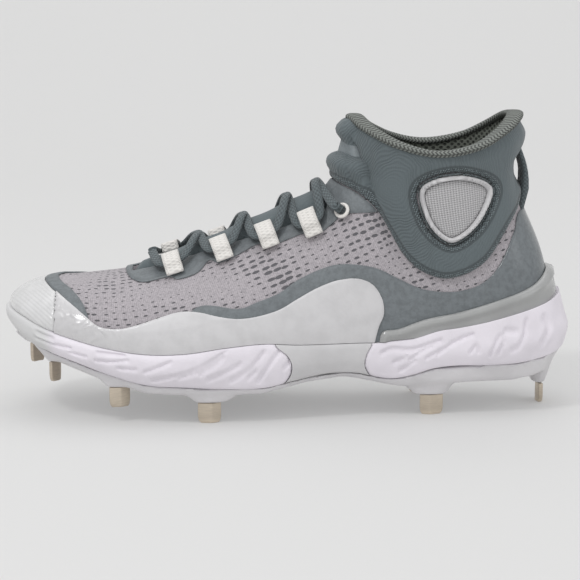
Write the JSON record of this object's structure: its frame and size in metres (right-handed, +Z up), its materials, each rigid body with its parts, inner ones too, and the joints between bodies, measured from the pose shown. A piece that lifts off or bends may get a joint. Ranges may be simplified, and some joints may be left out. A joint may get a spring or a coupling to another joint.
{
  "type": "baseball cleat",
  "caption": "Mid-cut baseball cleat with a knit ankle cuff, laced mesh upper, two-pod foam midsole and a moulded plate with metal blade studs.",
  "frame": {"origin": "on the floor under the middle of the shoe's bounding box, at the feet of the longest studs", "axes": "-X to the toe, +X to the heel, -Y to the outer (lateral) side, +Y to the inner (medial) side, +Z up"},
  "size_m": [0.302, 0.1068, 0.1588],
  "materials": {
    "upper_mesh": "lilac-grey engineered mesh, matt",
    "knit": "dark green-grey padded knit",
    "binding_knit": "two-tone looped knit binding",
    "overlay_skin": "dark grey polyurethane skin, satin, glossy at the heel counter",
    "film": "light grey glossy film with fine ribs",
    "foam": "lilac-white moulded foam with sculpted grooves",
    "bridge_skin": "smooth grey moulded",
    "plate": "light grey moulded nylon",
    "clip": "mid-grey glossy moulded",
    "stud_steel": "warm brushed steel",
    "webbing": "off-white flat webbing",
    "eyelet_ring": "off-white moulded ring",
    "lace": "dark braided lace",
    "pod_rim": "light grey moulded frame",
    "pod_weave": "grey woven panel",
    "insole_cloth": "grey brushed lining cloth"
  },
  "bodies": {
    "root": {"upper": "upper_mesh", "tongue": "knit", "insole": "insole_cloth", "midsole_forefoot": "foam", "midfoot_bridge": "bridge_skin", "midsole_heel": "foam", "outsole_plate": "plate", "toe_cap": "film", "toe_trim": "overlay_skin", "quarter_overlay": "overlay_skin", "eyestay": "overlay_skin", "heel_clip": "clip", "cuff": "knit", "collar_binding": "binding_knit", "pull_loop": "knit", "laces": "lace", "wing_lateral": "film", "wing_medial": "film", "pod_frame_lateral": "pod_rim", "pod_frame_medial": "pod_rim", "pod_panel_lateral": "pod_weave", "pod_panel_medial": "pod_weave", "eyelet_lateral": "eyelet_ring", "eyelet_medial": "eyelet_ring", "lace_loop_lateral_1": "webbing", "lace_loop_lateral_2": "webbing", "lace_loop_lateral_3": "webbing", "lace_loop_lateral_4": "webbing", "lace_loop_medial_1": "webbing", "lace_loop_medial_2": "webbing", "lace_loop_medial_3": "webbing", "lace_loop_medial_4": "webbing", "stud_toe_medial": "stud_steel", "stud_toe_lateral": "stud_steel", "stud_fore_medial": "stud_steel", "stud_fore_lateral": "stud_steel", "stud_ball_medial": "stud_steel", "stud_ball_lateral": "stud_steel", "stud_heel_medial": "stud_steel", "stud_heel_lateral": "stud_steel", "stud_heel_rear": "stud_steel"}
  },
  "joints": []
}
